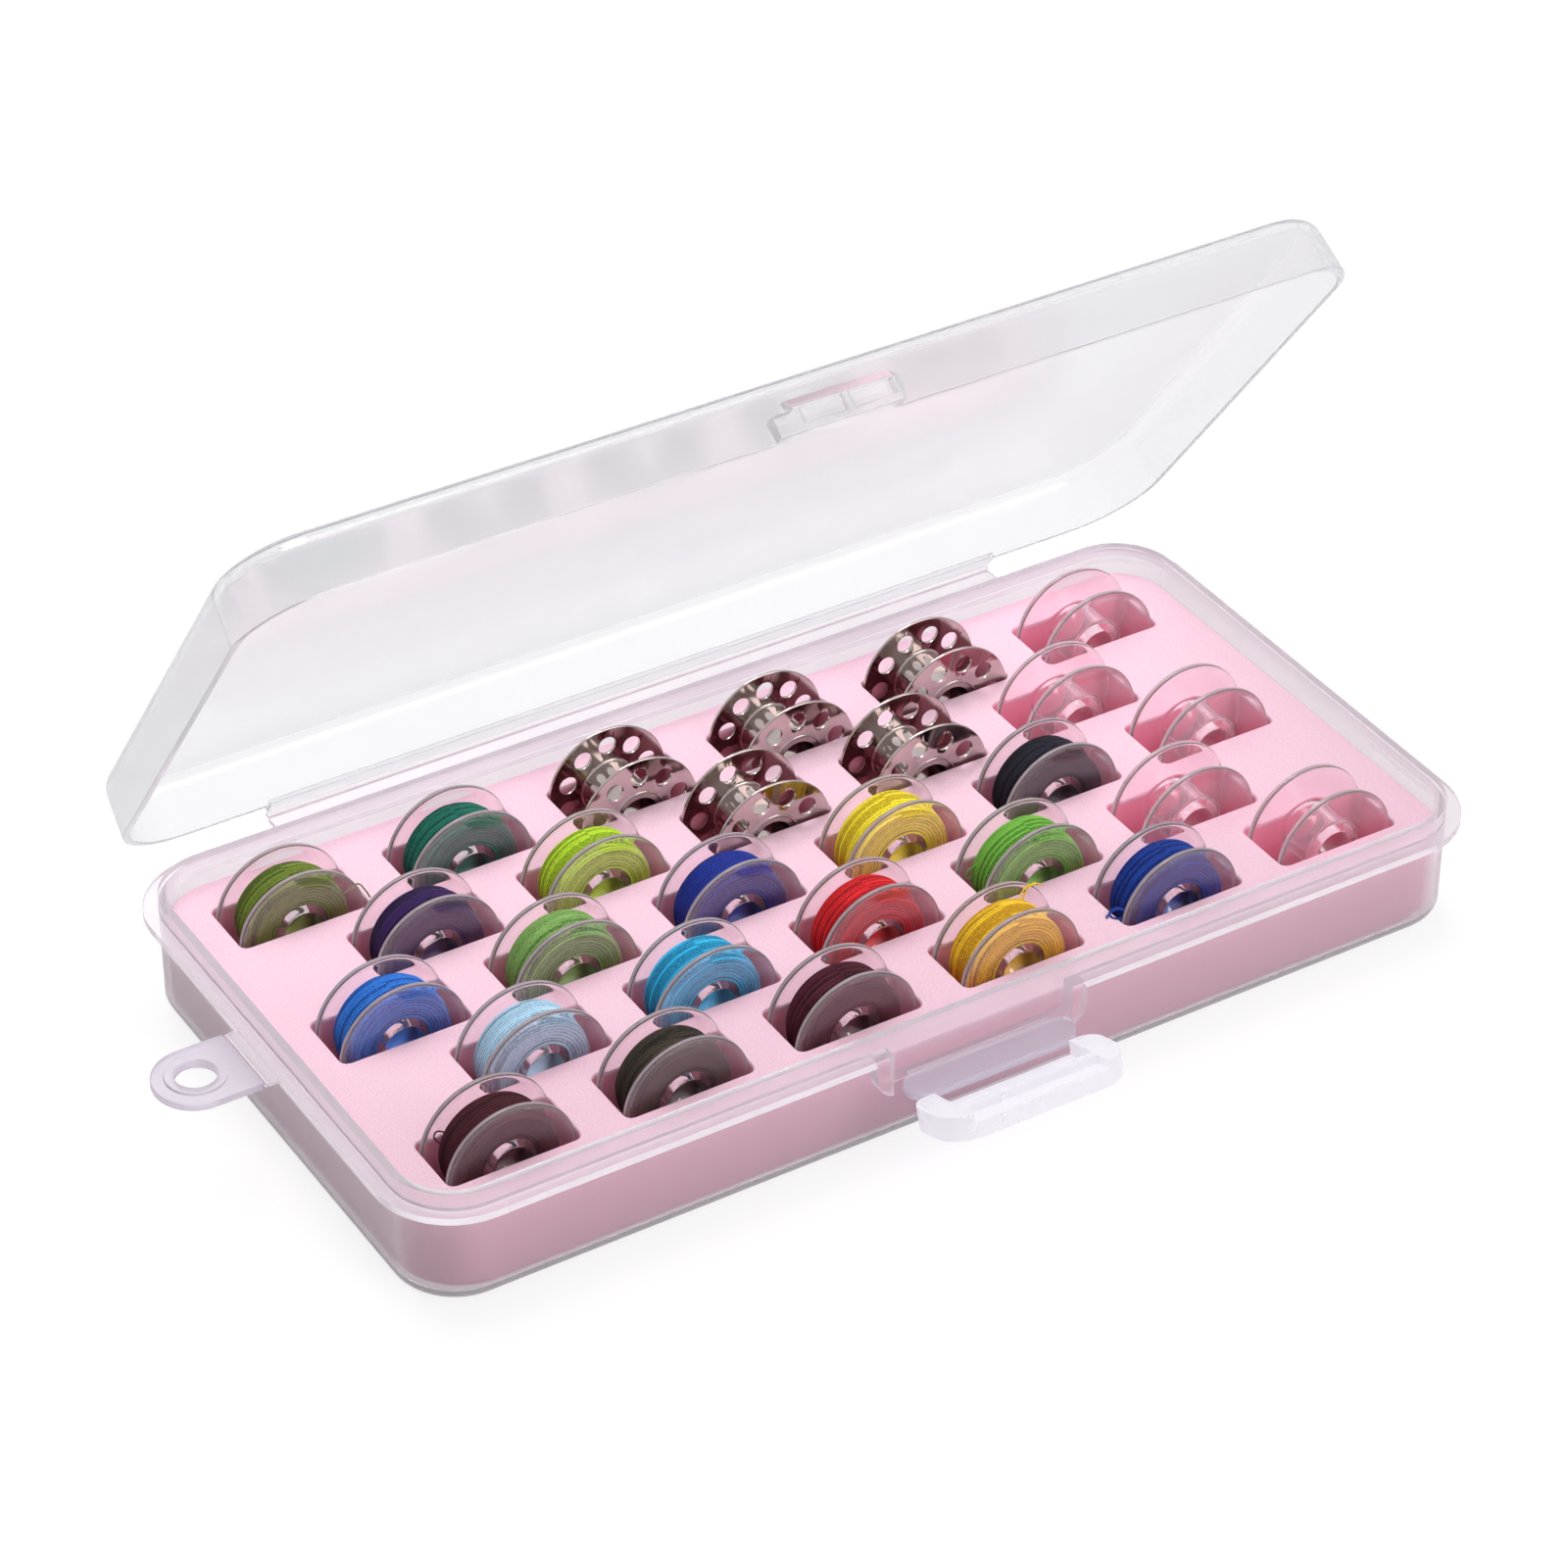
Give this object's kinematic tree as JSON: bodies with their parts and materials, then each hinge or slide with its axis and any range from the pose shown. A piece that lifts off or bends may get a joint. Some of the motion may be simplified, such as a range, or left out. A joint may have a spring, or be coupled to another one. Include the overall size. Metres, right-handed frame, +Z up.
{
  "type": "bobbin box",
  "caption": "Shallow clear hinged box with a snap latch and a hang tab; a foam insert holds wound, steel and empty sewing machine bobbins upright in staggered slots.",
  "frame": {"origin": "centre of the tray's underside", "axes": "+X along the length to the right, +Y back to the hinge, +Z up"},
  "size_m": [0.1982, 0.1171, 0.0995],
  "materials": {
    "clear_moulding": "satin",
    "clear_lid": "gloss",
    "frosted_moulding": "satin",
    "pink_foam": "matte",
    "clear_bobbin": "gloss",
    "bobbin_steel": "polished",
    "thread_maroon": "matte",
    "thread_dark_brown": "matte",
    "thread_wine": "matte",
    "thread_golden_yellow": "matte",
    "thread_royal_blue": "matte",
    "thread_pale_blue": "matte",
    "thread_cyan": "matte",
    "thread_red": "matte",
    "thread_grass_green": "matte",
    "thread_mid_blue": "matte",
    "thread_leaf_green": "matte",
    "thread_deep_blue": "matte",
    "thread_lemon_yellow": "matte",
    "thread_black_navy": "matte",
    "thread_dark_purple": "matte",
    "thread_lime": "matte",
    "thread_olive": "matte",
    "thread_teal": "matte"
  },
  "bodies": {
    "tray": {"base": "clear_moulding", "base_floor": "clear_moulding", "hinge_web": "clear_moulding", "foam_floor": "pink_foam", "foam_rib_1": "pink_foam", "foam_rib_2": "pink_foam", "foam_rib_3": "pink_foam", "foam_rib_4": "pink_foam", "foam_rib_5": "pink_foam", "foam_rib_6": "pink_foam", "foam_row_1": "pink_foam", "foam_row_2": "pink_foam", "foam_row_3": "pink_foam", "foam_row_4": "pink_foam", "foam_row_5": "pink_foam"},
    "lid": {"lid": "clear_lid"},
    "latch_link": {"latch_link": "frosted_moulding"},
    "latch_tab": {"latch_tab": "frosted_moulding"},
    "hang_tab": {"hang_tab": "frosted_moulding"},
    "wound_1_1": {"bobbin_1_1": "clear_bobbin", "thread_1_1": "thread_maroon"},
    "wound_1_2": {"bobbin_1_2": "clear_bobbin", "thread_1_2": "thread_dark_brown"},
    "wound_1_3": {"bobbin_1_3": "clear_bobbin", "thread_1_3": "thread_wine"},
    "wound_1_4": {"bobbin_1_4": "clear_bobbin", "thread_1_4": "thread_golden_yellow"},
    "wound_1_5": {"bobbin_1_5": "clear_bobbin", "thread_1_5": "thread_royal_blue"},
    "wound_2_1": {"bobbin_2_1": "clear_bobbin", "thread_2_1": "thread_pale_blue"},
    "wound_2_2": {"bobbin_2_2": "clear_bobbin", "thread_2_2": "thread_cyan"},
    "wound_2_3": {"bobbin_2_3": "clear_bobbin", "thread_2_3": "thread_red"},
    "wound_2_4": {"bobbin_2_4": "clear_bobbin", "thread_2_4": "thread_grass_green"},
    "wound_3_1": {"bobbin_3_1": "clear_bobbin", "thread_3_1": "thread_mid_blue"},
    "wound_3_2": {"bobbin_3_2": "clear_bobbin", "thread_3_2": "thread_leaf_green"},
    "wound_3_3": {"bobbin_3_3": "clear_bobbin", "thread_3_3": "thread_deep_blue"},
    "wound_3_4": {"bobbin_3_4": "clear_bobbin", "thread_3_4": "thread_lemon_yellow"},
    "wound_3_5": {"bobbin_3_5": "clear_bobbin", "thread_3_5": "thread_black_navy"},
    "wound_4_1": {"bobbin_4_1": "clear_bobbin", "thread_4_1": "thread_dark_purple"},
    "wound_4_2": {"bobbin_4_2": "clear_bobbin", "thread_4_2": "thread_lime"},
    "wound_5_1": {"bobbin_5_1": "clear_bobbin", "thread_5_1": "thread_olive"},
    "wound_5_2": {"bobbin_5_2": "clear_bobbin", "thread_5_2": "thread_teal"},
    "empty_1_6": {"clear_bobbin_1_6": "clear_bobbin"},
    "empty_2_5": {"clear_bobbin_2_5": "clear_bobbin"},
    "empty_3_6": {"clear_bobbin_3_6": "clear_bobbin"},
    "empty_4_5": {"clear_bobbin_4_5": "clear_bobbin"},
    "empty_5_6": {"clear_bobbin_5_6": "clear_bobbin"},
    "steel_4_3": {"steel_bobbin_4_3": "bobbin_steel"},
    "steel_4_4": {"steel_bobbin_4_4": "bobbin_steel"},
    "steel_5_3": {"steel_bobbin_5_3": "bobbin_steel"},
    "steel_5_4": {"steel_bobbin_5_4": "bobbin_steel"},
    "steel_5_5": {"steel_bobbin_5_5": "bobbin_steel"}
  },
  "joints": [
    {"name": "lid_hinge", "type": "hinge", "parent": "tray", "child": "lid", "pos_m": [0, 0.05005, 0.01725], "axis": [1, 0, 0], "range_deg": [-126.2, 53.8]},
    {"name": "latch_link_fold", "type": "hinge", "parent": "tray", "child": "latch_link", "pos_m": [0, -0.0453, 0.0116], "axis": [-1, 0, 0], "range_deg": [-20, 70]},
    {"name": "latch_tab_fold", "type": "hinge", "parent": "latch_link", "child": "latch_tab", "pos_m": [0, -0.05078, 0.01112], "axis": [-1, 0, 0], "range_deg": [-25, 2]},
    {"name": "hang_tab_fold", "type": "hinge", "parent": "tray", "child": "hang_tab", "pos_m": [-0.0929, 0.0005, 0.0165], "axis": [0, -1, 0], "range_deg": [-90, 90]},
    {"name": "lift_1_1", "type": "slide", "parent": "tray", "child": "wound_1_1", "axis": [0, 0, -1], "range_m": [-0.013, 0]},
    {"name": "lift_1_2", "type": "slide", "parent": "tray", "child": "wound_1_2", "axis": [0, 0, -1], "range_m": [-0.013, 0]},
    {"name": "lift_1_3", "type": "slide", "parent": "tray", "child": "wound_1_3", "axis": [0, 0, -1], "range_m": [-0.013, 0]},
    {"name": "lift_1_4", "type": "slide", "parent": "tray", "child": "wound_1_4", "axis": [0, 0, -1], "range_m": [-0.013, 0]},
    {"name": "lift_1_5", "type": "slide", "parent": "tray", "child": "wound_1_5", "axis": [0, 0, -1], "range_m": [-0.013, 0]},
    {"name": "lift_1_6", "type": "slide", "parent": "tray", "child": "empty_1_6", "axis": [0, 0, -1], "range_m": [-0.013, 0]},
    {"name": "lift_2_1", "type": "slide", "parent": "tray", "child": "wound_2_1", "axis": [0, 0, -1], "range_m": [-0.013, 0]},
    {"name": "lift_2_2", "type": "slide", "parent": "tray", "child": "wound_2_2", "axis": [0, 0, -1], "range_m": [-0.013, 0]},
    {"name": "lift_2_3", "type": "slide", "parent": "tray", "child": "wound_2_3", "axis": [0, 0, -1], "range_m": [-0.013, 0]},
    {"name": "lift_2_4", "type": "slide", "parent": "tray", "child": "wound_2_4", "axis": [0, 0, -1], "range_m": [-0.013, 0]},
    {"name": "lift_2_5", "type": "slide", "parent": "tray", "child": "empty_2_5", "axis": [0, 0, -1], "range_m": [-0.013, 0]},
    {"name": "lift_3_1", "type": "slide", "parent": "tray", "child": "wound_3_1", "axis": [0, 0, -1], "range_m": [-0.013, 0]},
    {"name": "lift_3_2", "type": "slide", "parent": "tray", "child": "wound_3_2", "axis": [0, 0, -1], "range_m": [-0.013, 0]},
    {"name": "lift_3_3", "type": "slide", "parent": "tray", "child": "wound_3_3", "axis": [0, 0, -1], "range_m": [-0.013, 0]},
    {"name": "lift_3_4", "type": "slide", "parent": "tray", "child": "wound_3_4", "axis": [0, 0, -1], "range_m": [-0.013, 0]},
    {"name": "lift_3_5", "type": "slide", "parent": "tray", "child": "wound_3_5", "axis": [0, 0, -1], "range_m": [-0.013, 0]},
    {"name": "lift_3_6", "type": "slide", "parent": "tray", "child": "empty_3_6", "axis": [0, 0, -1], "range_m": [-0.013, 0]},
    {"name": "lift_4_1", "type": "slide", "parent": "tray", "child": "wound_4_1", "axis": [0, 0, -1], "range_m": [-0.013, 0]},
    {"name": "lift_4_2", "type": "slide", "parent": "tray", "child": "wound_4_2", "axis": [0, 0, -1], "range_m": [-0.013, 0]},
    {"name": "lift_4_3", "type": "slide", "parent": "tray", "child": "steel_4_3", "axis": [0, 0, -1], "range_m": [-0.013, 0]},
    {"name": "lift_4_4", "type": "slide", "parent": "tray", "child": "steel_4_4", "axis": [0, 0, -1], "range_m": [-0.013, 0]},
    {"name": "lift_4_5", "type": "slide", "parent": "tray", "child": "empty_4_5", "axis": [0, 0, -1], "range_m": [-0.013, 0]},
    {"name": "lift_5_1", "type": "slide", "parent": "tray", "child": "wound_5_1", "axis": [0, 0, -1], "range_m": [-0.013, 0]},
    {"name": "lift_5_2", "type": "slide", "parent": "tray", "child": "wound_5_2", "axis": [0, 0, -1], "range_m": [-0.013, 0]},
    {"name": "lift_5_3", "type": "slide", "parent": "tray", "child": "steel_5_3", "axis": [0, 0, -1], "range_m": [-0.013, 0]},
    {"name": "lift_5_4", "type": "slide", "parent": "tray", "child": "steel_5_4", "axis": [0, 0, -1], "range_m": [-0.013, 0]},
    {"name": "lift_5_5", "type": "slide", "parent": "tray", "child": "steel_5_5", "axis": [0, 0, -1], "range_m": [-0.013, 0]},
    {"name": "lift_5_6", "type": "slide", "parent": "tray", "child": "empty_5_6", "axis": [0, 0, -1], "range_m": [-0.013, 0]}
  ]
}
